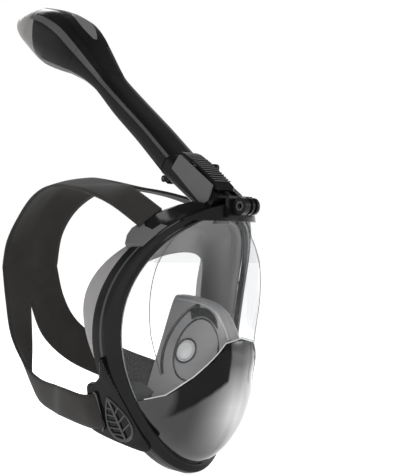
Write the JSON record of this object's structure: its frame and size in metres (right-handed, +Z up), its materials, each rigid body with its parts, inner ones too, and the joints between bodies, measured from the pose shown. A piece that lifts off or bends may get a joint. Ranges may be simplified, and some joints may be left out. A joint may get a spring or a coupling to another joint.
{
  "type": "full face snorkel mask",
  "caption": "Full face snorkel mask: clear visor in a clamped two-part frame, silicone face skirt with breathing pocket, folding snorkel tube with float valve, elastic head strap.",
  "frame": {"origin": "centre of the face seal, in the plane of its rearmost edge", "axes": "+Z up the wearer's face, -Y out of the front of the mask, +X to the wearer's left"},
  "size_m": [0.183, 0.3171, 0.4463],
  "materials": {
    "black_plastic": "satin moulded",
    "grey_plastic": "satin moulded",
    "clear_lens": "polished clear",
    "smoke_gloss": "polished",
    "grey_silicone": "soft matte",
    "black_silicone": "soft matte",
    "float_foam": "matte",
    "strap_fabric": "knitted elastic",
    "steel": "plain"
  },
  "bodies": {
    "mask": {"frame_front": "black_plastic", "frame_rear": "black_plastic", "forehead_bridge": "black_plastic", "air_port": "black_plastic", "snorkel_socket": "black_plastic", "camera_mount": "black_plastic", "chin_valve_seat": "grey_plastic", "chin_valve_cage": "grey_plastic", "vent_grille_left": "grey_plastic", "vent_grille_right": "grey_plastic", "strap_anchor_left": "grey_plastic", "strap_anchor_right": "grey_plastic", "exhale_seat_left": "grey_plastic", "exhale_seat_right": "grey_plastic", "inhale_seat_left": "grey_plastic", "inhale_seat_right": "grey_plastic", "visor_lens": "clear_lens", "chin_cover": "smoke_gloss", "face_skirt": "grey_silicone", "orinasal_pocket": "grey_silicone", "socket_seal": "black_silicone", "head_strap": "strap_fabric", "frame_screws": "steel", "hinge_pin": "steel", "latch_pin": "steel", "latch_spring": "steel", "mount_nut": "steel"},
    "snorkel": {"snorkel_tube": "black_plastic", "channel_divider": "black_plastic", "head_shell": "black_plastic", "head_end_cap": "grey_plastic", "float_guide": "grey_plastic", "float_seat": "grey_plastic"},
    "latch": {"latch_lever": "black_plastic"},
    "float": {"float": "float_foam"},
    "chin_disc": {"chin_valve_disc": "black_silicone"},
    "exhale_valve_left": {"exhale_disc_left": "black_silicone"},
    "inhale_valve_left": {"inhale_disc_left": "black_silicone"},
    "exhale_valve_right": {"exhale_disc_right": "black_silicone"},
    "inhale_valve_right": {"inhale_disc_right": "black_silicone"}
  },
  "joints": [
    {"name": "snorkel_fold", "type": "hinge", "parent": "mask", "child": "snorkel", "pos_m": [0, -0.04396, 0.1448], "axis": [-1, 0, 0], "range_deg": [0, 85], "deforming": ["head_strap"]},
    {"name": "latch_press", "type": "hinge", "parent": "mask", "child": "latch", "pos_m": [0, -0.07959, 0.15427], "axis": [1, 0, 0], "range_deg": [0, 3.5], "stiffness_Nm_per_rad": 0.6, "deforming": ["latch_spring"]},
    {"name": "float_slide", "type": "slide", "parent": "snorkel", "child": "float", "axis": [0, 0.8039, 0.5948], "range_m": [0, 0.007]},
    {"name": "chin_valve_lift", "type": "slide", "parent": "mask", "child": "chin_disc", "axis": [0, 0, -1], "range_m": [0, 0.0015], "stiffness_N_per_m": 40},
    {"name": "exhale_valve_lift_left", "type": "slide", "parent": "mask", "child": "exhale_valve_left", "axis": [0.8955, -0.2641, -0.3582], "range_m": [0, 0.0015], "stiffness_N_per_m": 40},
    {"name": "exhale_valve_lift_right", "type": "slide", "parent": "mask", "child": "exhale_valve_right", "axis": [-0.8955, -0.2641, -0.3582], "range_m": [0, 0.0015], "stiffness_N_per_m": 40},
    {"name": "inhale_valve_lift_left", "type": "slide", "parent": "mask", "child": "inhale_valve_left", "axis": [-0.9125, 0.1872, -0.3638], "range_m": [0, 0.0015], "stiffness_N_per_m": 40},
    {"name": "inhale_valve_lift_right", "type": "slide", "parent": "mask", "child": "inhale_valve_right", "axis": [0.9125, 0.1872, -0.3638], "range_m": [0, 0.0015], "stiffness_N_per_m": 40}
  ]
}
